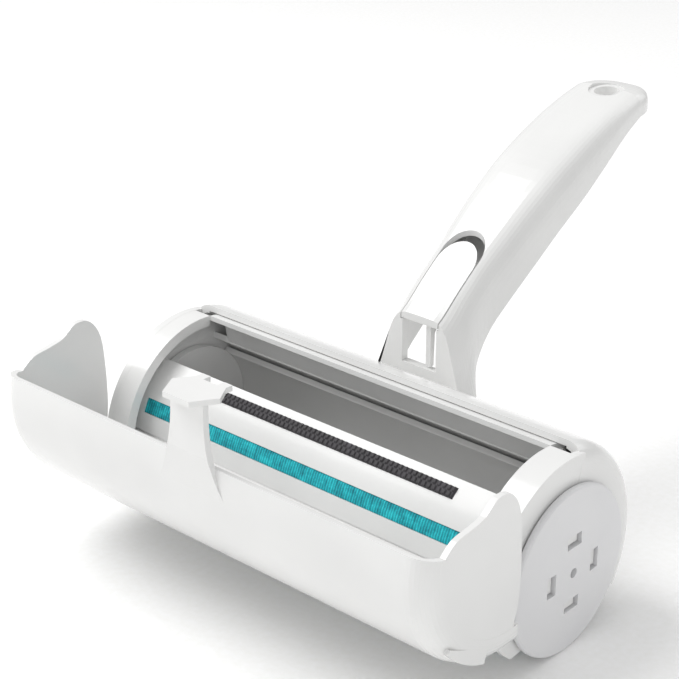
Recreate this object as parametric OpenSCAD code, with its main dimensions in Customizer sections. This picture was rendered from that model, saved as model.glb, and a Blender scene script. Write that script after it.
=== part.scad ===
// Pet-hair lint roller: a rocking drum with fabric strips under a body whose front lid
// opens on two hinges, with a hollow handle that carries the latch.
// Y runs from the lid to the handle, X along the drum, Z up from the surface it stands on.

/* [Drum] */
// Diameter of the two end discs that roll on the cloth
disc_d = 62; // [56:1:70]
// Thickness of an end disc at its rim
disc_t = 2.6; // [2:0.1:4]
// Height of the dome on an end disc
disc_dome = 1.3; // [0.5:0.1:2.5]
// Diameter of the drum
drum_d = 57.6; // [50:0.2:60]
// Wall of the drum
drum_wall = 2.2; // [1.6:0.1:3]
// How far the drum rocks each way from its middle
rock_angle = 20; // [10:1:24]
// Width of a fabric strip round the drum
strip_w = 10; // [6:0.5:12]
// Width of a rubber blade slot
slot_w = 4.6; // [3.6:0.2:6]
// Diameter of the hub journal
journal_d = 32.8; // [26:0.2:38]

/* [Body] */
// Length of the body over its end caps
body_len = 182; // [150:2:220]
// Radius of the body round the drum axis
body_r = 43.4; // [41:0.2:52]
// Wall of the shells
wall = 2.2; // [1.6:0.1:3]
// Thickness of an end cap
end_t = 3; // [2.4:0.1:4]
// Radius of the rounded rear edge of an end cap
cap_fillet = 7; // [4:0.5:8]
// Width of the rim inside each end cap
rim_w = 8; // [7.5:0.5:12]

/* [Lid] */
// Angle that the lid stands open from shut
lid_open = 88; // [60:1:96]
// Angle round the drum axis of the lid's free edge when shut
lid_free = 79; // [72:1:84]
// Angle round the drum axis of the lid's hinge edge when shut
lid_foot = 189; // [187:1:192]
// Radius of the lid's rounded ends
lid_fillet = 8; // [5:0.5:10]
// Width of the latch plate on the tongue
latch_w = 22; // [18:1:28]
// Width of one hinge
hinge_w = 28; // [20:1:36]
// Diameter of a hinge pin
hinge_pin_d = 2.4; // [2:0.1:3]

/* [Handle] */
// Distance from the drum axis to the far end of the handle
handle_reach = 165; // [150:1:190]
// Height of the far end of the handle above the drum axis
handle_rise = 115; // [100:1:128]
// Width of the grip
grip_w = 36; // [30:1:42]
// Width of the neck
neck_w = 30; // [27:1:36]
// Diameter of the hanging hole
hang_d = 10; // [6:0.5:13]
// Thickness of the handle through the hanging hole
hang_t = 5.5; // [4:0.5:6]
// Width of the release button
button_w = 17; // [12:0.5:19]
// Travel of the release button
button_travel = 3; // [2:0.5:4]

/* [Fits] */
// Radial clearance of a journal or pin that turns
run_gap = 0.05; // [0.03:0.01:0.1]
// Gap between pieces that move past each other
move_gap = 0.8; // [0.5:0.1:1.2]

/* [Hidden] */
$fn = 96;

white = "#f1f1ee";
teal = "#12a9c4";
rubber = "#3c393d";
steel = "#b9bcc0";

// lengths along the drum, from the middle
cap_x = body_len / 2;
shell_x = cap_x - end_t;
back_x = cap_x - cap_fillet;
drum_x = shell_x - 0.6;
disc_x = cap_x + 0.5;
disc_out = disc_x + disc_t + disc_dome;
lid_in_x = disc_out + move_gap;
lid_x = lid_in_x + wall;
rim_x = shell_x - rim_w;
strip_x = rim_x - 1;
blade_x = rim_x - 20;

// how far one joined shape stops short of the next, so that no two faces share a plane
inlay = 0.06;

// radii round the drum axis
disc_r = disc_d / 2;
drum_r = drum_d / 2;
strip_h = 0.5;
deck_in = drum_r + strip_h + 0.4;
deck_r = deck_in + wall;
lid_in_r = body_r - wall;
ledge_r = lid_in_r - 0.3;
journal_r = journal_d / 2;
bush_in = journal_r + run_gap;
bush_r = bush_in + 1.9;

// the drum is open at the top over this half angle, and the decks cover its edges
drum_gap = 46;
deck_gap = drum_gap - rock_angle + 2;
// angles of the two stripper windows, front and mirrored at the rear
win_a0 = 148;
win_a1 = 158.5;
// angle from the drum's middle line to the near edge of a strip
slot_half = asin(slot_w / 2 / drum_r);
strip_a = slot_half + 3.5;
strip_span = strip_w / drum_r * 180 / PI;
slot_len = strip_x - 4;
// radius at which the four hooks of a drum end stand
hook_r = journal_r - 4.4;

// the hinge axis of the lid, inside the shut lid's lower edge
hinge_ang = 186.9;
barrel_r = 3.6;
hinge_rad = lid_in_r - barrel_r - 1.2;
hinge = hinge_rad * [cos(hinge_ang), sin(hinge_ang)];
hinge_x = rim_x - hinge_w / 2;
pin_r = hinge_pin_d / 2;
lid_depth = lid_fillet + 2;

// the open lid's own axis, which is the drum axis turned about the hinge
lid_mid = hinge - [hinge[0] * cos(lid_open) - hinge[1] * sin(lid_open),
    hinge[0] * sin(lid_open) + hinge[1] * cos(lid_open)];

// the latch plate stands in front of the neck when the lid is shut
plate_y = 31;
plate_t = 2;
plate_top = body_r + 6.6;
plate_foot = sqrt(pow(body_r + 0.6, 2) - pow(plate_y, 2));
neck_y = plate_y + plate_t + 0.8;
// furthest point to the front with the lid open
front_y = min(lid_mid[0] - body_r, hinge[0] + (plate_y - hinge[0]) * cos(lid_open)
    - (plate_top - hinge[1]) * sin(lid_open));
mid_y = (front_y + handle_reach) / 2;

// the rear lower edge of the body rests on the surface with the two discs
skid_r = 2;
skid_y = sqrt(pow(body_r - wall / 2, 2) - pow(disc_r - skid_r, 2));
foot_ang = -asin((disc_r - skid_r) / (body_r - wall / 2));
// height of the body's lower corners above the surface
foot_rise = 6;
cap_ang = -asin((disc_r - foot_rise - 1) / body_r);

grip_h = grip_w / 2;
neck_h = neck_w / 2;
hang_y = handle_reach - grip_h + 1.5;
hang_tilt = 5;
// stations along the handle: [y, top, bottom, half width, flare at the foot]
reach_k = (handle_reach - neck_y) / 131.2;
neck_top = body_r + 11.1;
rise_k = (handle_rise - neck_top) / 56.5;
stations = [
    [neck_y, neck_top, 10, neck_h, 12],
    [neck_y + 3.4 * reach_k, neck_top + 2 * rise_k, 16, neck_h, 10],
    [neck_y + 7.4 * reach_k, neck_top + 5 * rise_k, 23, neck_h, 7],
    [neck_y + 11.4 * reach_k, neck_top + 8 * rise_k, 33, neck_h, 3],
    [neck_y + 16.4 * reach_k, neck_top + 11.5 * rise_k, neck_top - 14.5 * rise_k, neck_h, 1],
    [neck_y + 24.4 * reach_k, neck_top + 17 * rise_k, neck_top - 7.5 * rise_k, neck_h, 0],
    [neck_y + 34.4 * reach_k, neck_top + 23.5 * rise_k, neck_top + 0.5 * rise_k, neck_h + 1, 0],
    [neck_y + 46.4 * reach_k, neck_top + 31 * rise_k, neck_top + 9 * rise_k, grip_h - 1, 0],
    [neck_y + 61.4 * reach_k, neck_top + 39.2 * rise_k, neck_top + 19 * rise_k, grip_h - 0.2, 0],
    [neck_y + 76.4 * reach_k, neck_top + 45.7 * rise_k, neck_top + 27.5 * rise_k, grip_h, 0],
    [neck_y + 91.4 * reach_k, neck_top + 51 * rise_k, neck_top + 36.5 * rise_k, grip_h - 0.4, 0],
    [neck_y + 104.4 * reach_k, neck_top + 54.5 * rise_k, neck_top + 44 * rise_k, grip_h - 1.2, 0],
    [neck_y + 115.4 * reach_k, neck_top + 56.8 * rise_k, neck_top + 48.5 * rise_k, grip_h - 2, 0]];
last = len(stations) - 1;
button_slope = 35;
spring_len = 9;
tray_rib = 1.2;
button_end = neck_y + 28;
// lower edge of the pad's front lip, just above the latch window
pad_z = body_r + 8.2;
window_w = 16;
window_z = body_r - 9.4;

// a smooth curve through a list of points, n steps between neighbours
function curve_at(p, i, t) =
    let (a = p[max(i - 1, 0)], b = p[i], c = p[i + 1], d = p[min(i + 2, len(p) - 1)])
    0.5 * (2 * b + (c - a) * t + (2 * a - 5 * b + 4 * c - d) * t * t
        + (3 * b - a - 3 * c + d) * t * t * t);
function smooth(p, n) = concat(
    [for (i = [0:len(p) - 2]) for (k = [0:n - 1]) curve_at(p, i, k / n)], [p[len(p) - 1]]);

// the rounded far end, as stations whose width follows a circle
function end_stations(steps) =
    let (e = stations[last], r = handle_reach - e[0])
    [for (k = [1:steps]) let (b = 86 * k / steps)
        [e[0] + r * sin(b), e[1] + (handle_rise - e[1]) * sin(b) - 2.5 * (1 - cos(b)),
            e[2] + 1.5 * sin(b) + 1.5 * (1 - cos(b)), e[3] * pow(cos(b), 0.9), 0]];

// one cross-section of the handle: a soft-cornered arch on a flat foot
function section(q, inset, drop) =
    let (w = q[3] - inset, top = q[1] - inset, foot = q[2] - drop)
    [for (k = [0:24]) let (a = 7.5 * k, c = cos(a), h = pow(sin(a), 0.5))
        [sign(c) * (w * pow(abs(c), 0.42) + q[4] * pow(1 - h, 2)), q[0], foot + (top - foot) * h]];

function arc(cy, cz, r, a0, a1, n) =
    [for (k = [0:n]) let (a = a0 + (a1 - a0) * k / n) [cy + r * cos(a), cz + r * sin(a)]];
function on(r, a) = [r * cos(a), r * sin(a)];

// ---- shared shapes ----

module place() translate([0, -mid_y, disc_r]) children();

// turns a flat (y, z) shape or an axis along z so that it runs along x
module along_x() rotate([90, 0, 90]) children();

module slab(x0, x1) along_x() translate([0, 0, x0]) linear_extrude(x1 - x0) children();

// part of a tube round the drum axis, from angle a0 to a1 and from x0 to x1
module arc_shell(r0, r1, a0, a1, x0, x1) along_x() rotate([0, 0, a0])
    rotate_extrude(angle = a1 - a0) translate([r0, x0]) square([r1 - r0, x1 - x0]);

module tube(r0, r1, x0, x1) along_x() translate([0, 0, x0]) difference() {
    cylinder(r = r1, h = x1 - x0);
    translate([0, 0, -1]) cylinder(r = r0, h = x1 - x0 + 2);
}

module rod(y, z, r, x0, x1) along_x() translate([y, z, x0]) cylinder(r = r, h = x1 - x0);

// a solid skinned over rings of points
module skin(rings) {
    n = len(rings[0]);
    m = len(rings);
    polyhedron(points = [for (r = rings) for (p = r) p], faces = concat(
        [[for (i = [n - 1:-1:0]) i]],
        [[for (i = [0:n - 1]) (m - 1) * n + i]],
        [for (j = [0:m - 2]) for (i = [0:n - 1]) let (k = (i + 1) % n)
            [j * n + i, j * n + k, (j + 1) * n + k, (j + 1) * n + i]]));
}

module handle_outer() skin([for (q = concat(smooth(stations, 3), end_stations(8)))
    section(q, 0, 0)]);

// the hollow of the handle, open below, stopping short of the hanging hole
module handle_hollow(inset) skin([for (q = smooth([for (k = [0:last - 1]) stations[k]], 3))
    if (q[0] > neck_y + wall) section(q, inset, 12)]);

// plan outline of the release button, round at its far end
module button_plan(gap, far) {
    hw = button_w / 2 + gap;
    translate([-hw, neck_y - 6]) square([2 * hw, far - hw - neck_y + 6]);
    translate([0, far - hw]) circle(r = hw);
}

// ---- fixed body ----

module main_shell() color(white) place() difference() {
    union() {
        arc_shell(lid_in_r, body_r, foot_ang, lid_free - 1, -back_x, back_x);
        rod(skid_y, skid_r - disc_r, skid_r, 2 * inlay - back_x, back_x - 2 * inlay);
        slab(inlay - back_x, back_x - inlay) polygon([[skid_y - 0.4, 0.1 - disc_r],
            [skid_y - 1.6, 0.8 - disc_r], on(deck_r + 3.2, foot_ang + 3),
            on(deck_r + 5.4, foot_ang + 5), [skid_y + 0.9, 3.4 - disc_r]]);
        // seat for the lid's free edge
        arc_shell(ledge_r - 1.8, ledge_r, lid_free - 9, lid_free + 4, -rim_x, rim_x);
        arc_shell(ledge_r - 0.8, body_r - 0.8, lid_free - 8, lid_free - 4, 1 - rim_x, rim_x - 1);
    }
    // the lower edge rises to the end caps
    for (side = [-1, 1]) translate([side * (shell_x + 1), 0, -disc_r - 1])
        cube([2 * (shell_x + 1 - rim_x), 100, 2 * foot_rise + 2], center = true);
}

module handle() color(white) place() difference() {
    union() {
        difference() {
            handle_outer();
            handle_hollow(wall);
        }
        // cross wall that the button's spring rests against
        slab(-12, 12) polygon([spring_at(spring_len + 0.4, -3.4), spring_at(spring_len + 2, -3.4),
            spring_at(spring_len + 2, 2.2), spring_at(spring_len + 0.4, 2.2)]);
    }
    rod(0, 0, body_r + 0.02, -grip_w, grip_w);
    // latch window in the front of the neck
    translate([-window_w / 2, neck_y - 1, window_z])
        cube([window_w, wall + 4, pad_z - window_z]);
    translate([0, 0, pad_z - 0.6]) linear_extrude(200)
        button_plan(0.5, button_end + button_travel + 1.5);
    hang_cut();
}

// the hanging hole, with a flat ring round each mouth
module hang_cut() translate([0, hang_y, stations[last][1] - 1.4]) rotate([hang_tilt, 0, 0]) {
    translate([0, 0, -20]) cylinder(r = hang_d / 2, h = 40);
    cylinder(r = hang_d / 2 + 2.2, h = 20);
    translate([0, 0, -hang_t - 20]) cylinder(r = hang_d / 2 + 2.2, h = 20);
}

module end_cap(side) color(white) place() scale_x(side) difference() {
    union() {
        // round corner where the cap meets the rear shell
        along_x() rotate([0, 0, cap_ang]) rotate_extrude(angle = lid_free - 1 - cap_ang)
            polygon(concat([[body_r, back_x]], arc(body_r - cap_fillet, back_x, cap_fillet, 4, 86, 10),
                [[body_r - cap_fillet, cap_x], [drum_r - 1, cap_x], [drum_r - 1, shell_x]],
                arc(body_r - cap_fillet, back_x, cap_fillet - end_t, 90, 0, 6)));
        arc_shell(drum_r - 2, ledge_r, lid_free - 3, hinge_ang - 2, shell_x + inlay, cap_x - inlay);
        tube(bush_r - 2, drum_r + 0.8, shell_x + 2 * inlay, cap_x - 2 * inlay);
        // rim inside the opening
        arc_shell(ledge_r - 4.2, ledge_r - inlay, lid_free + 4, 170, rim_x, shell_x + 1);
        // front fin
        slab(shell_x + 3 * inlay, cap_x - 3 * inlay) polygon(concat([on(ledge_r - 2, hinge_ang - 6)],
            [for (k = [0:8]) on(ledge_r - 0.6 - 0.6 * k, hinge_ang + 4 * k)],
            [on(drum_r - 3, hinge_ang + 48), on(drum_r - 3, hinge_ang - 6)]));
    }
    rod(0, 0, bush_r, shell_x - 1, cap_x + 1);
    // room for the lid's lower edge as it turns about the hinge
    slab(shell_x - 1, cap_x + 1) polygon(concat([hinge + [0.5, 0.3]],
        arc(hinge[0], hinge[1], norm(on(body_r, lid_foot) - hinge) + move_gap, 120, 300, 18)));
}

module scale_x(side) {
    if (side < 0) mirror([1, 0, 0]) children();
    else children();
}

module front_sill() color(white) place() difference() {
    union() {
        arc_shell(deck_in, deck_r, 90 + deck_gap, 197, -shell_x, shell_x);
        // seat that the shut lid's lower edge closes against
        arc_shell(deck_r - 0.5, ledge_r - 0.2, 172, 176, -shell_x, shell_x);
        for (side = [-1, 1]) for (end = [-1, 1]) hinge_knuckle(side, end);
    }
    arc_shell(deck_in - 1, deck_r + 1, win_a0, win_a1, -rim_x - 2, rim_x + 2);
    for (side = [-1, 1]) rod(hinge[0], hinge[1], pin_r, side * hinge_x - hinge_w / 2 - 1,
        side * hinge_x + hinge_w / 2 + 1);
}

// a knuckle at one end of one hinge, with its arm to the sill
module hinge_knuckle(side, end) {
    k = hinge_w * 0.28;
    x0 = side * hinge_x + end * (hinge_w / 2 - k / 2) - k / 2;
    rod(hinge[0], hinge[1], barrel_r, x0, x0 + k);
    slab(x0, x0 + k) polygon([hinge + [0, barrel_r], on(deck_r - 0.5, 182),
        on(deck_r - 0.5, 196), hinge + [0, -barrel_r]]);
}

module rear_guard() color(white) place() {
    difference() {
        arc_shell(deck_in, deck_r, foot_ang + 5, 90 - deck_gap, -shell_x, shell_x);
        arc_shell(deck_in - 1, deck_r + 1, 180 - win_a1, 180 - win_a0, -rim_x - 2, rim_x + 2);
        // row of narrow slots near the upper edge
        for (k = [-2:2]) arc_shell(deck_in - 1, deck_r + 1, 84 - deck_gap, 85.6 - deck_gap,
            (k - 0.46) * rim_x * 0.39, (k + 0.46) * rim_x * 0.39);
    }
    // flange up to the seat under the rear shell's edge
    slab(-rim_x, rim_x) polygon([on(deck_in + 0.6, 90 - deck_gap), on(deck_in + 0.6, 61),
        on(deck_r, 60.2), on(ledge_r - 2.1, lid_free - 10), on(ledge_r - 2.1, lid_free - 7.5)]);
    // small ribs that bridge the slit to the rear shell
    for (k = [-5:5]) slab(k * shell_x / 5.6 - 0.8, k * shell_x / 5.6 + 0.8) polygon(
        [on(deck_r - 0.3, foot_ang + 5), on(deck_r - 0.3, foot_ang + 9),
            on(deck_r + 5, foot_ang + 8.4), on(deck_r + 4.2, foot_ang + 5.2)]);
}

module stripper(a0, a1) color(teal) place()
    arc_shell(deck_in - 0.3, deck_r - 0.3, a0, a1, -rim_x - 2, rim_x + 2);

module stripper_front() stripper(win_a0, win_a1);
module stripper_rear() stripper(180 - win_a1, 180 - win_a0);

// ribbed rubber lip along the front edge of the hair chamber
module chamber_blade() color(rubber) place() {
    arc_shell(deck_r, deck_r + 0.9, 124, 132, -blade_x, blade_x);
    for (k = [0:3]) arc_shell(deck_r + 0.4, deck_r + 1.5, 124.6 + 2 * k, 125.4 + 2 * k, -blade_x, blade_x);
}

module bush(side) color(white) place() scale_x(side) {
    tube(bush_in, bush_r, shell_x, cap_x);
    tube(bush_in, bush_r + 1.2, shell_x - 0.5, shell_x);
}

module hinge_pin(side) color(steel) place() {
    rod(hinge[0], hinge[1], pin_r, side * hinge_x - hinge_w / 2 + 0.5,
        side * hinge_x + hinge_w / 2 - 0.5);
}

// tray inside the grip, seen from below as three long troughs between ribs
module handle_insert() color(white) place() {
    path = smooth([for (k = [6:last - 2]) stations[k]], 3);
    end = len(path) - 1;
    difference() {
        skin([for (q = path) let (w = q[3] - wall - 0.8) tray_ring(q, -w, w, 0, 6.4, 1.8)]);
        for (i = [0:2]) skin([for (k = [1:end - 1]) let (q = path[k], w = q[3] - wall - 1.2,
            gap = (2 * w - 4 * tray_rib) / 3, x0 = tray_rib - w + i * (gap + tray_rib))
            tray_ring(q, x0, x0 + gap, -1, 5.2, 1.2)]);
    }
}

// four corners of a bar across the handle, given its heights above the handle's lower edge
function tray_ring(q, x0, x1, low, high, draft) = let (z = q[2] + 2)
    [[x1, q[0], z + low], [x1 - draft, q[0], z + high], [x0 + draft, q[0], z + high],
        [x0, q[0], z + low]];

// ---- lid ----

// profile of the lid in (radius, x): a skin that turns down into both end walls
function lid_half(x, r, f, depth) = concat(arc(r - f, x - f, f, 0, 90, 8), [[r - depth, x]]);
function flip(p) = [for (k = [len(p) - 1:-1:0]) [p[k][0], -p[k][1]]];

ear = smooth([[6.8, 34.7], [10.6, 29.5], [12, 22], [13.6, 15.5], [17.6, 9.5], [16.6, 2.5],
    [9, -2.6], [-5, -4.6], [-18, -5.2], [-26.5, -4.6], [-31.5, -3.2], [-35.1, -3.6]], 4);

module lid_turn() translate([0, hinge[0], hinge[1]]) rotate([lid_open, 0, 0])
    translate([0, -hinge[0], -hinge[1]]) children();

module lid_skin() {
    outer = lid_half(lid_x, body_r, lid_fillet, lid_depth);
    inner = lid_half(lid_in_x, lid_in_r, lid_fillet - wall, lid_depth - wall);
    along_x() rotate([0, 0, lid_free]) rotate_extrude(angle = lid_foot - lid_free)
        polygon(concat(flip(outer), outer, [for (k = [len(inner) - 1:-1:0]) inner[k]],
            [for (p = inner) [p[0], -p[1]]]));
}

module lid() color(white) place() difference() {
    lid_turn() difference() {
        union() {
            lid_skin();
            for (side = [-1, 1]) scale_x(side) {
                slab(lid_in_x + inlay, lid_x - inlay) polygon(concat(ear,
                    arc(0, 0, body_r - lid_fillet - 1, hinge_ang, lid_free, 24)));
                lid_fin();
            }
            tongue();
            for (side = [-1, 1]) lid_knuckle(side);
        }
        for (side = [-1, 1]) rod(hinge[0], hinge[1], pin_r + run_gap, side * hinge_x - hinge_w / 2,
            side * hinge_x + hinge_w / 2);
    }
    // room for the discs beside the open lid's lower edge
    for (side = [-1, 1]) scale_x(side)
        rod(0, 0, disc_r + move_gap, disc_x - move_gap, disc_out + move_gap / 2);
}

module lid_knuckle(side) {
    k = hinge_w * 0.44 - 0.6;
    x0 = side * hinge_x - k / 2;
    rod(hinge[0], hinge[1], barrel_r, x0, x0 + k);
    slab(x0, x0 + k) polygon([hinge + [0, barrel_r], hinge + [0, -barrel_r],
        on(lid_in_r + 0.5, lid_foot), on(lid_in_r + 0.5, hinge_ang - 4)]);
}

// crescent fin that stands out of the round corner, level with the ear
module lid_fin() slab(lid_x - 1.6, lid_x - 2 * inlay) polygon(concat(
    arc(0, 0, body_r - 1.6, 132, 164, 8),
    [for (k = [0:8]) on(body_r - lid_fillet - 0.5 + 5.1 * pow(k / 8, 1.5), 164 - 4 * k)]));

// latch tongue: a tapering bar with a plate and two nubs on its end
module tongue() {
    intersection() {
        slab(-30, 30) polygon([on(body_r - 0.2, 96), on(lid_in_r + 0.3, 88),
            on(lid_in_r + 0.3, lid_free + 3), on(body_r - 0.1, lid_free + 1.8) - [0, 0.05],
            [plate_y + 1, body_r - 0.6],
            [plate_y + 1, body_r + 1.8], [12, body_r + 1.8], [2, body_r + 0.6]]);
        linear_extrude(100) polygon(concat(
            [for (k = [0:8]) [7.5 + 9.5 * pow(1 - k / 8, 2.2), -6 + k * 4.2]],
            [[7.5, plate_y + 1], [-7.5, plate_y + 1]],
            [for (k = [8:-1:0]) [-7.5 - 9.5 * pow(1 - k / 8, 2.2), -6 + k * 4.2]]));
    }
    translate([0, plate_y + plate_t, 0]) rotate([90, 0, 0]) linear_extrude(plate_t) polygon([
        [-latch_w / 2, body_r - 2.4], [-latch_w / 2 + 5, plate_top],
        [latch_w / 2 - 5, plate_top], [latch_w / 2, body_r - 2.4],
        [latch_w / 2 - 4, plate_foot + 3.3], [6.8, plate_foot + 3.3], [6.8, plate_foot],
        [3.2, plate_foot], [3.2, plate_foot + 3.3], [-3.2, plate_foot + 3.3],
        [-3.2, plate_foot], [-6.8, plate_foot], [-6.8, plate_foot + 3.3],
        [-latch_w / 2 + 4, plate_foot + 3.3]]);
}

// ---- release button ----

module release_button() color(white) place() {
    // pad cut from the curved top of the neck
    intersection() {
        difference() {
            handle_outer();
            handle_hollow(wall);
        }
        translate([0, 0, pad_z]) linear_extrude(200) button_plan(0, button_end);
    }
    // catch arm that hangs in the latch window
    slab(2.4, 4.6) polygon([[neck_y + 1.2, window_z + 0.8], [neck_y + 1.2, neck_top - 1.5],
        [neck_y + 9, neck_top + 3.7], [neck_y + 9, neck_top - 0.5],
        [neck_y + 3.6, neck_top - 6.5], [neck_y + 3.2, window_z + 0.8]]);
    // lug that the spring pushes on
    slab(-4, 4) polygon([spring_at(0, -3), spring_at(-1.8, -3), spring_at(-1.8, 6),
        spring_at(0, 6)]);
}

// a point d along the spring's axis and h above it
function spring_at(d, h) = [button_end - 9, neck_top + 5.5]
    + d * [cos(button_slope), sin(button_slope)] + h * [-sin(button_slope), cos(button_slope)];

module button_spring() color(steel) place()
    translate([0, spring_at(0.2, 0)[0], spring_at(0.2, 0)[1]])
        rotate([button_slope - 90, 0, 0]) coil(2.4, 0.3, spring_len, 6);

// a helix of round wire with its turns worked out step by step
module coil(r, wire, len, turns) skin([for (k = [0:turns * 14]) let (a = k * 360 / 14,
    z = wire + (len - 2 * wire) * k / (turns * 14)) [for (j = [0:5]) let (b = 60 * j)
    [(r + wire * cos(b)) * cos(a), (r + wire * cos(b)) * sin(a), z + wire * sin(b)]]]);

// ---- rocking drum ----

module drum_shell() color(white) place() difference() {
    arc_shell(drum_r - drum_wall, drum_r, 90 + drum_gap, 450 - drum_gap, -drum_x, drum_x);
    for (side = [-1, 1]) strip_band(side, drum_r - 0.8, drum_r + 1);
    for (side = [-1, 1]) translate([side * (4 + slot_len / 2), 0, 0])
        translate([0, 0, -drum_r - 1]) linear_extrude(drum_wall + 3) stadium(slot_len, slot_w);
}

module stadium(len, w) {
    square([len - w, w], center = true);
    for (e = [-1, 1]) translate([e * (len - w) / 2, 0]) circle(r = w / 2);
}

module strip_band(side, r0, r1) {
    a = 270 + side * (strip_a + strip_span / 2);
    arc_shell(r0, r1, a - strip_span / 2, a + strip_span / 2, -strip_x, strip_x);
}

module drum_strip_front() color(teal) place() strip_band(-1, drum_r - 0.8, drum_r + strip_h);
module drum_strip_rear() color(teal) place() strip_band(1, drum_r - 0.8, drum_r + strip_h);

// rubber blade: a lip through the slot, ribs along it and a foot inside the drum
module rubber_blade(side) color(rubber) place() translate([side * (4 + slot_len / 2), 0, 0]) {
    len = slot_len - slot_w - 1;
    translate([-len / 2, -0.9, -drum_r - 0.4]) cube([len, 1.8, drum_wall + 2]);
    for (k = [-1, 1]) translate([-len / 2, k * 1.3 - 0.4, -drum_r + 0.3])
        cube([len, 0.8, drum_wall + 1.2]);
    translate([-len / 2, -3.4, -drum_r + drum_wall + 0.35]) cube([len, 6.8, 1.6]);
}

// end plate of the drum, with the journal and four hooks that hold the disc
module drum_end(side) color(white) place() scale_x(side) {
    rod(0, 0, drum_r - drum_wall - 0.1, drum_x - 3, drum_x);
    tube(journal_r - 3, journal_r, drum_x - 0.01, disc_x - 0.1);
    rod(0, 0, journal_r - 2, disc_x - 2.6, disc_x - 0.1);
    for (k = [0:3]) along_x() rotate([0, 0, 90 * k]) translate([hook_r, 0, disc_x - 0.2]) {
        translate([-1.1, -2.9, 0]) cube([2.2, 5.8, disc_t]);
        translate([-1.1, -2.9, disc_t - 1]) cube([2.9, 5.8, 1]);
    }
}

module end_disc(side) color(white) place() scale_x(side) difference() {
    along_x() translate([0, 0, disc_x]) rotate_extrude() polygon(concat([[0, 0]],
        arc(disc_r - 0.8, 0.8, 0.8, -90, 0, 3),
        arc(disc_r - 1.1, disc_t - 1.1, 1.1, 0, 75, 5),
        [for (k = [1:6]) let (t = 1 - k / 6) [(disc_r - 1.4) * t, disc_t + disc_dome * (1 - t * t)]]));
    for (k = [0:3]) along_x() rotate([0, 0, 90 * k]) translate([hook_r + 0.2, 0, disc_x - 1])
        linear_extrude(9) square([4.5, 8], center = true);
    rod(0, 0, 1.8, disc_x - 1, disc_x + 9);
}

main_shell();
handle();
end_cap(-1);  // end_cap_left
end_cap(1);  // end_cap_right
front_sill();
rear_guard();
stripper_front();
stripper_rear();
chamber_blade();
handle_insert();
hinge_pin(-1);  // hinge_pin_left
hinge_pin(1);  // hinge_pin_right
bush(-1);  // bush_left
bush(1);  // bush_right
lid();
release_button();
button_spring();
drum_shell();
drum_end(-1);  // drum_end_left
drum_end(1);  // drum_end_right
end_disc(-1);  // end_disc_left
end_disc(1);  // end_disc_right
drum_strip_front();
drum_strip_rear();
rubber_blade(-1);  // rubber_blade_left
rubber_blade(1);  // rubber_blade_right
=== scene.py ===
import math
import bpy
import numpy as np
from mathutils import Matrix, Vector


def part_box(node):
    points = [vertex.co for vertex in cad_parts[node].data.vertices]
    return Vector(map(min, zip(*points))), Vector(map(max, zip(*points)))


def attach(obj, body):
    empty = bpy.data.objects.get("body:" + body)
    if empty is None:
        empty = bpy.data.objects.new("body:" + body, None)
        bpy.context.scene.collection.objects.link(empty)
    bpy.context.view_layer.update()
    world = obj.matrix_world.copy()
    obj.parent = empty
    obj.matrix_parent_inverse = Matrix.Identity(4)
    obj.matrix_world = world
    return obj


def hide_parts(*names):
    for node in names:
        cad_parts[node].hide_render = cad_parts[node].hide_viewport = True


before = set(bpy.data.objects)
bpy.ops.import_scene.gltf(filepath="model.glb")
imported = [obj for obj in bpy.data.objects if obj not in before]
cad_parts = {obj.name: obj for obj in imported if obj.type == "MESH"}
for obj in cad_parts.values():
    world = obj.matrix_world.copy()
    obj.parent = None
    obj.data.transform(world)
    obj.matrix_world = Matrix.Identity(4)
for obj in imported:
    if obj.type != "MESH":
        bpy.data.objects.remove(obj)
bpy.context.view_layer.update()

mm = 0.001
discLow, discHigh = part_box("end_disc_left")
drumAxis = ((discLow.y + discHigh.y) / 2, (discLow.z + discHigh.z) / 2)   # (y, z) of the axis along X

# sRGB hex to linear: each channel c becomes c/12.92 below 0.04045, else ((c + 0.055) / 1.055) to the 2.4
def linearColour(hexText):
    c = np.array([int(hexText[k:k + 2], 16) for k in (1, 3, 5)]) / 255.0
    low = c <= 0.04045
    return tuple(np.where(low, c / 12.92, ((c + 0.055) / 1.055) ** 2.4)) + (1.0,)

# stops are (place, sRGB hex) along a colour ramp
def setStops(elements, stops):
    while len(elements) < len(stops):
        elements.new(0.5)
    for element, (place, colour) in zip(elements, stops):
        element.position = place
        element.color = linearColour(colour)

# adds one node, sets its properties and sockets, and links sockets given as (node, output); a socket is named
# with _ for a space, or i and its number
def addNode(material, kind, settings=None, **sockets):
    tree = material.node_tree
    node = tree.nodes.new(kind)
    for name, value in (settings or {}).items():
        if name == "stops":
            setStops(node.color_ramp.elements, value)
        else:
            setattr(node, name, value)
    for name, value in sockets.items():
        numbered = name[0] == "i" and name[1:].isdigit()
        socket = node.inputs[int(name[1:]) if numbered else name.replace("_", " ")]
        if isinstance(value, tuple) and len(value) == 2 and hasattr(value[0], "outputs"):
            tree.links.new(value[0].outputs[value[1]], socket)
        else:
            socket.default_value = value
    return node

def newMaterial(name):
    material = bpy.data.materials.new(name)
    material.use_nodes = True
    material.node_tree.nodes.clear()
    return material

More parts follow.
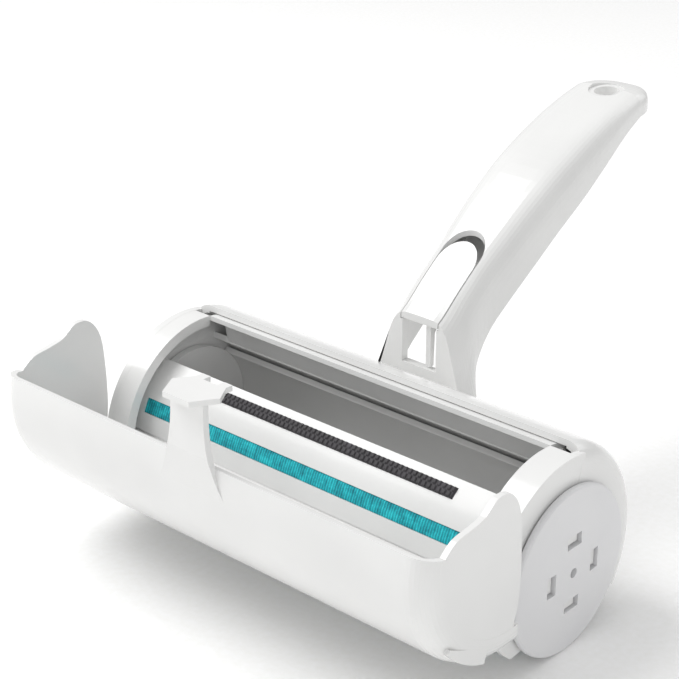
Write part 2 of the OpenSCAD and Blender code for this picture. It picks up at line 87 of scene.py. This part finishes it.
# points is an (n, m, 3) array of metres, and neighbours along n and m share an edge. A closed section runs
# round m, its two halves face each other, and a ladder of quads between them closes each end.
def gridMesh(name, points, closed=False):
    rows, cols = points.shape[:2]
    i, j = np.meshgrid(np.arange(rows - 1), np.arange(cols if closed else cols - 1), indexing="ij")
    k = (j + 1) % cols
    faces = np.stack([i * cols + k, (i + 1) * cols + k, (i + 1) * cols + j, i * cols + j], -1).reshape(-1, 4)
    if closed:
        k = np.arange(cols // 2 - 1)
        ladder = np.stack([cols - 1 - k, cols - 2 - k, k + 1, k], -1)
        faces = np.concatenate([faces, ladder, ladder[:, ::-1] + (rows - 1) * cols])
    mesh = bpy.data.meshes.new(name)
    fillMesh(mesh, points.reshape(-1, 3), faces)
    piece = bpy.data.objects.new(name, mesh)
    bpy.context.scene.collection.objects.link(piece)
    return piece

# a strip bent round the drum axis, from arrays of x, angle and outer radius over (along, across); the
# underside is a plain arc at radius under
def bentStrip(name, x, angle, radius, under):
    radii = np.concatenate([radius, under + 0 * radius], 1)
    angles = np.concatenate([angle, angle[:, ::-1]], 1)
    y = drumAxis[0] + radii * np.cos(angles)
    z = drumAxis[1] + radii * np.sin(angles)
    return gridMesh(name, np.stack([x + 0 * radii, y, z], -1), closed=True)

def fillMesh(mesh, vertices, faces):
    mesh.vertices.add(len(vertices))
    mesh.vertices.foreach_set("co", vertices.reshape(-1).astype(np.float32))
    sides = faces.shape[1]
    mesh.loops.add(faces.size)
    mesh.loops.foreach_set("vertex_index", faces.reshape(-1).astype(np.int32))
    mesh.polygons.add(len(faces))
    mesh.polygons.foreach_set("loop_start", np.arange(0, faces.size, sides, dtype=np.int32))
    mesh.polygons.foreach_set("use_smooth", np.ones(len(faces), dtype=bool))
    mesh.update(calc_edges=True)
    mesh.validate()

# injection moulded ABS: cool near white, glossy skin with a faint ripple
def mouldedAbs(name, tone, shade, roughLow, roughHigh, ripple=0.016):
    material = newMaterial(name)
    place = (addNode(material, "ShaderNodeTexCoord"), "Object")
    flow = addNode(material, "ShaderNodeTexNoise", None, Vector=place,
        Scale=1 / (55 * mm), Detail=3.0)   # flow marks 55 mm apart
    haze = addNode(material, "ShaderNodeTexNoise", None, Vector=place,
        Scale=1 / (7 * mm), Detail=3.0)   # handling haze, 7 mm
    ripples = addNode(material, "ShaderNodeTexNoise", None, Vector=place,
        Scale=1 / (2.4 * mm), Detail=2.0)   # skin ripple, drawn at 2.4 mm to show
    sparks = addNode(material, "ShaderNodeTexNoise", None, Vector=place,
        Scale=1 / (0.45 * mm), Detail=1.0)   # tool spark texture 0.45 mm
    colour = addNode(material, "ShaderNodeValToRGB",
        {"stops": [(0.3, shade), (0.7, tone)]}, Fac=(flow, "Fac"))
    rough = addNode(material, "ShaderNodeMapRange", None, Value=(haze, "Fac"), From_Min=0.2, From_Max=0.8,
        To_Min=roughLow, To_Max=roughHigh)
    high = addNode(material, "ShaderNodeMath", {"operation": "MULTIPLY_ADD"},
        i0=(sparks, "Fac"), i1=0.3, i2=(ripples, "Fac"))
    bump = addNode(material, "ShaderNodeBump", None, Height=(high, 0), Strength=0.32, Distance=ripple * mm)
    shader = addNode(material, "ShaderNodeBsdfPrincipled", None,
        Base_Color=(colour, 0), Roughness=(rough, 0), Normal=(bump, 0), IOR=1.54,
        Coat_Weight=0.18, Coat_Roughness=0.12)
    addNode(material, "ShaderNodeOutputMaterial", None, Surface=(shader, 0))
    return material

# compression moulded rubber: dark warm grey, dull, with a fine grain and pale dusty bloom
def mouldedRubber(name):
    material = newMaterial(name)
    place = (addNode(material, "ShaderNodeTexCoord"), "Object")
    bloom = addNode(material, "ShaderNodeTexNoise", None, Vector=place,
        Scale=1 / (4 * mm), Detail=5.0)   # bloom patches 4 mm
    grain = addNode(material, "ShaderNodeTexNoise", None, Vector=place,
        Scale=1 / (0.5 * mm), Detail=2.0)   # grain 0.5 mm
    colour = addNode(material, "ShaderNodeValToRGB",
        {"stops": [(0.3, "#2b292c"), (0.62, "#3c393d"), (0.8, "#57545a")]}, Fac=(bloom, "Fac"))
    rough = addNode(material, "ShaderNodeMapRange", None, Value=(bloom, "Fac"), To_Min=0.5, To_Max=0.75)
    bump = addNode(material, "ShaderNodeBump", None, Height=(grain, "Fac"), Strength=0.5, Distance=0.05 * mm)
    shader = addNode(material, "ShaderNodeBsdfPrincipled", None,
        Base_Color=(colour, 0), Roughness=(rough, 0), Normal=(bump, 0), IOR=1.52)
    addNode(material, "ShaderNodeOutputMaterial", None, Surface=(shader, 0))
    return material

# drawn steel wire: bright, with fine marks along its length
def drawnSteel(name):
    material = newMaterial(name)
    place = (addNode(material, "ShaderNodeTexCoord"), "Object")
    stretch = addNode(material, "ShaderNodeMapping", None, Vector=place, Scale=(0.05, 1.0, 1.0))
    lines = addNode(material, "ShaderNodeTexNoise", None, Vector=(stretch, 0),
        Scale=1 / (0.15 * mm), Detail=3.0)   # die lines 0.15 mm
    rough = addNode(material, "ShaderNodeMapRange", None, Value=(lines, "Fac"), To_Min=0.2, To_Max=0.38)
    bump = addNode(material, "ShaderNodeBump", None, Height=(lines, "Fac"), Strength=0.4, Distance=0.01 * mm)
    shader = addNode(material, "ShaderNodeBsdfPrincipled", None,
        Base_Color=linearColour("#c4c6c9"), Metallic=1.0, Roughness=(rough, 0),
        Normal=(bump, 0))
    addNode(material, "ShaderNodeOutputMaterial", None, Surface=(shader, 0))
    return material

# lint cloth: saturated teal dye, in rows of slanted nylon nap, with a painted highlight on the nap tips and
# painted shade at the roots. A wave texture repeats its bands every 2 pi / 20 of its own unit, so that over
# pitch is its scale.
def nappedCloth(name, pitch, tipHighlight, middle, rootShade):
    material = newMaterial(name)
    place = (addNode(material, "ShaderNodeTexCoord"), "Object")
    rows = addNode(material, "ShaderNodeTexWave", {"wave_type": "BANDS", "bands_direction": "X",
        "wave_profile": "SIN"}, Vector=place, Scale=2 * math.pi / (20 * pitch), Distortion=1.2, Detail=2.0,
        Detail_Scale=1.5)
    patches = addNode(material, "ShaderNodeTexNoise", None, Vector=place,
        Scale=1 / (3.5 * mm), Detail=4.0)   # brushed patches 3.5 mm
    fibres = addNode(material, "ShaderNodeTexNoise", None, Vector=place,
        Scale=1 / (0.22 * mm), Detail=3.0)   # fibre bundles 0.22 mm
    mixed = addNode(material, "ShaderNodeMath", {"operation": "MULTIPLY_ADD"},
        i0=(fibres, "Fac"), i1=0.7, i2=(patches, "Fac"))
    total = addNode(material, "ShaderNodeMath", {"operation": "MULTIPLY_ADD"},
        i0=(rows, "Fac"), i1=0.35, i2=(mixed, 0))
    share = addNode(material, "ShaderNodeMapRange", None, Value=(total, 0), From_Min=0.6, From_Max=1.35)
    # the ramp paints light and shade into the teal: painted shade at the roots, the dyed teal in the middle and
    # a painted highlight on the tips. Rows, brushed patches and fibre bundles move the colour along it
    colour = addNode(material, "ShaderNodeValToRGB",
        {"stops": [(0.1, rootShade), (0.55, middle), (0.95, tipHighlight)]}, Fac=(share, 0))
    bump = addNode(material, "ShaderNodeBump", None, Height=(fibres, "Fac"), Strength=0.7, Distance=0.12 * mm)
    shader = addNode(material, "ShaderNodeBsdfPrincipled", None,
        Base_Color=(colour, 0), Roughness=0.78, Normal=(bump, 0), IOR=1.5,
        Sheen_Weight=0.2, Sheen_Roughness=0.4, Sheen_Tint=linearColour("#9ff0ee"))
    addNode(material, "ShaderNodeOutputMaterial", None, Surface=(shader, 0))
    return material

shellAbs = mouldedAbs("glossyMouldedAbs", "#ebebea", "#e3e3e2", 0.17, 0.25)
innerAbs = mouldedAbs("satinMouldedAbs", "#e6e6e5", "#dcdcdb", 0.33, 0.45, 0.03)
drumAbs = mouldedAbs("drumMouldedAbs", "#e8e8e7", "#dfdfde", 0.33, 0.42, 0.02)
discAbs = mouldedAbs("discMouldedAbs", "#e1e1e2", "#d8d8da", 0.33, 0.42, 0.03)
rubber = mouldedRubber("mouldedRubber")
steel = drawnSteel("drawnSteelWire")
# cloth colours: painted tip highlight, dyed teal, painted root shade
cloth = nappedCloth("nappedLintCloth", 1.1 * mm, "#2bd0d8", "#0aa3b0", "#046a78")
print("finishes made")

finishOf = {
    "main_shell": shellAbs, "handle": shellAbs, "end_cap_left": shellAbs, "end_cap_right": shellAbs,
    "lid": shellAbs, "release_button": shellAbs, "front_sill": innerAbs, "rear_guard": innerAbs,
    "handle_insert": innerAbs, "bush_left": innerAbs, "bush_right": innerAbs,
    "drum_shell": drumAbs, "drum_end_left": drumAbs, "drum_end_right": drumAbs,
    "end_disc_left": discAbs, "end_disc_right": discAbs,
    "rubber_blade_left": rubber, "rubber_blade_right": rubber,
    "hinge_pin_left": steel, "hinge_pin_right": steel, "button_spring": steel,
}
for name, finish in finishOf.items():
    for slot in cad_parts[name].material_slots:
        slot.material = finish
print("nodes finished")

# a strip lies on a cylinder round the drum axis, with t across it from -1 to 1 and x along it. Its height is
# nap times a base plus shares of cross rows (a sine along x that sways), tufts (a cosine across t) and a line
# of raised dots near one long edge, plus a fine seeded roughness, all under an edge curve 1 - t^10 and a fade
# at both ends.
def clothStrip(name, node, body, settings):
    low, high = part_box(node)
    across, along = settings["across"], settings["along"]
    x = np.linspace(low.x, high.x, along)[:, None]
    t = np.linspace(-1, 1, across)[None, :]
    longWave = x / settings["swayLength"]
    sway = settings["sway"] * np.sin(longWave) + settings["skew"] * t * np.sin(longWave / settings["skewRatio"])
    rows = 0.5 + 0.5 * np.sin(2 * math.pi * x / settings["rowPitch"] + sway)
    tufts = 0.5 + 0.5 * np.cos(2 * math.pi * (t + 1) * settings["tuftCount"] / 2 + 2 * sway)
    dotLine = np.exp(-((t - settings["dotSide"]) / settings["dotWidth"]) ** 2)
    dots = dotLine * (0.5 + 0.5 * np.sin(2 * math.pi * x / settings["dotPitch"]))
    edge = 1 - np.abs(t) ** 10
    ends = np.clip(np.minimum(x - low.x, high.x - x) / settings["endFade"], 0, 1)
    rng = np.random.default_rng(settings["seed"])
    rough = rng.normal(0, 1, (along, across))
    base, rowShare, tuftShare, dotShare = settings["shares"]
    pile = settings["nap"] * (base + rowShare * rows + tuftShare * tufts + dotShare * dots)
    pile = pile + settings["roughness"] * rough
    radius = settings["radius"] + edge * ends * np.minimum(pile, settings["nap"])
    angle = settings["angle"] + settings["halfAngle"] * t + 0 * x
    piece = bentStrip(name, x, angle, radius, settings["radius"] - settings["backing"])
    piece.data.materials.append(cloth)
    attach(piece, body)
    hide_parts(node)

drumStrip = {"radius": 28.75 * mm, "nap": 0.75 * mm, "backing": 0.6 * mm, "across": 44, "along": 900,
    "rowPitch": 1.7 * mm, "swayLength": 2.6 * mm, "sway": 0.7, "skew": 0.9, "skewRatio": 2.7,
    "tuftCount": 5, "dotPitch": 1.3 * mm, "dotSide": 0.8, "dotWidth": 0.09,
    "shares": (0.5, 0.27, 0.13, 0.2), "endFade": 1.2 * mm, "roughness": 0.035 * mm,
    "halfAngle": math.radians(9.95), "fromMiddle": 18.03}   # fromMiddle is degrees off the lowest line
for side, name, node in ((-1, "drumClothFront", "drum_strip_front"), (1, "drumClothRear", "drum_strip_rear")):
    middle = math.radians(270 + side * drumStrip["fromMiddle"])
    clothStrip(name, node, "drum", dict(drumStrip, angle=middle, seed=4 + side))

# strips in the deck windows, seen from inside the open body, with the dots along the upper edge
deckStrip = dict(drumStrip, radius=31.2 * mm, nap=0.5 * mm, backing=0.9 * mm, rowPitch=2.1 * mm, tuftCount=3,
    dotPitch=1.7 * mm, endFade=0.8 * mm, roughness=0.025 * mm, halfAngle=math.radians(5.2))
for name, node, angle, upper, seed in (("stripperClothFront", "stripper_front", 153.25, -1, 11),
        ("stripperClothRear", "stripper_rear", 26.75, 1, 12)):
    clothStrip(name, node, "base", dict(deckStrip, angle=math.radians(angle),
        dotSide=deckStrip["dotSide"] * upper, seed=seed))
print("cloth strips made")

# the lip has two rows of cross ribs, half a pitch apart, with a groove between them, and both its long edges
# roll down: its height is roll times ends times (half the foot plus the rib's share of the ridges)
lip = {"inner": 31.9 * mm, "backing": 0.25 * mm, "foot": 0.9 * mm, "rib": 0.75 * mm, "ribPitch": 2.1 * mm,
    "ribBase": 0.3, "steepness": 0.9, "grooveWidth": 0.06, "rollWidth": 0.1, "endFade": 0.6 * mm,
    "from": math.radians(124), "to": math.radians(132), "along": 1400, "across": 26}
low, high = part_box("chamber_blade")
x = np.linspace(low.x, high.x, lip["along"])[:, None]
t = np.linspace(0, 1, lip["across"])[None, :]
row = np.where(t < 0.5, 0.0, math.pi)
ridge = np.clip(0.5 + lip["steepness"] * np.sin(2 * math.pi * x / lip["ribPitch"] + row), 0, 1)
groove = 1 - np.exp(-((t - 0.5) / lip["grooveWidth"]) ** 2)
roll = np.clip(np.minimum(t, 1 - t) / lip["rollWidth"], 0, 1) ** 0.5
ends = np.clip(np.minimum(x - low.x, high.x - x) / lip["endFade"], 0, 1)
ribs = lip["rib"] * (lip["ribBase"] + (1 - lip["ribBase"]) * ridge * groove)
radius = lip["inner"] + roll * ends * (lip["foot"] * 0.5 + ribs)
angle = lip["from"] + (lip["to"] - lip["from"]) * t + 0 * x
ribbedLip = bentStrip("ribbedLip", x, angle, radius, lip["inner"] - lip["backing"])
ribbedLip.data.materials.append(rubber)
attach(ribbedLip, "base")
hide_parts("chamber_blade")
print("ribbed lip made")

# each lamp is (place, what it points at, size in metres, watts)
studio = {
    "keyLight": ((-0.75, -0.35, 1.15), (0, 0, 0.03), 1.0, 13.0),
    "fillLight": ((0.9, -0.9, 0.7), (0, 0, 0.05), 1.2, 3.0),
    "rimLight": ((0.3, 1.1, 0.8), (0, 0, 0.05), 1.0, 3.0),
}
for name, (place, target, size, power) in studio.items():
    data = bpy.data.lights.new(name, "AREA")
    data.shape = "DISK"
    data.size = size
    data.energy = power
    lamp = bpy.data.objects.new(name, data)
    bpy.context.scene.collection.objects.link(lamp)
    lamp.location = place
    lamp.rotation_euler = (Vector(target) - Vector(place)).to_track_quat("-Z", "Y").to_euler()

# flat floor just under the surface that the roller stands on; its y runs backwards so that it faces up
sheet = {"size": 6.0, "lines": 41, "sink": 0.1 * mm}
line = np.linspace(-sheet["size"] / 2, sheet["size"] / 2, sheet["lines"])
floorX, floorY = np.meshgrid(line, line, indexing="ij")
floor = gridMesh("studioFloor", np.stack([floorX, floorY, 0 * floorX - sheet["sink"]], -1)[:, ::-1])
paper = newMaterial("matPaper")
spot = addNode(paper, "ShaderNodeTexCoord")
tooth = addNode(paper, "ShaderNodeTexNoise", None, Vector=(spot, "Object"),
    Scale=1 / (2.5 * mm), Detail=2.0)   # paper tooth 2.5 mm
paperTone = addNode(paper, "ShaderNodeValToRGB",
    {"stops": [(0.3, "#fbfbfa"), (0.7, "#ffffff")]}, Fac=(tooth, "Fac"))
shader = addNode(paper, "ShaderNodeBsdfPrincipled", None, Base_Color=(paperTone, 0), Roughness=0.85)
addNode(paper, "ShaderNodeOutputMaterial", None, Surface=(shader, 0))
floor.data.materials.append(paper)

world = bpy.data.worlds.new("paleStudio")
world.use_nodes = True
background = world.node_tree.nodes["Background"]
background.inputs["Color"].default_value = linearColour("#fafafa")
background.inputs["Strength"].default_value = 0.56
bpy.context.scene.world = world

# turn and down are degrees from straight along Y
view = {"place": (0.3763, drumAxis[0] - 0.4324, drumAxis[1] + 0.3177), "lens": 94.9, "turn": 41.7,
    "down": 24.5, "sensor": 36}
cameraData = bpy.data.cameras.new("camera")
cameraData.lens = view["lens"]
cameraData.sensor_width = view["sensor"]
camera = bpy.data.objects.new("camera", cameraData)
bpy.context.scene.collection.objects.link(camera)
camera.location = view["place"]
camera.rotation_euler = (math.radians(90 - view["down"]), 0, math.radians(view["turn"]))
bpy.context.scene.camera = camera
bpy.context.scene.view_settings.view_transform = "Standard"
print("studio ready")
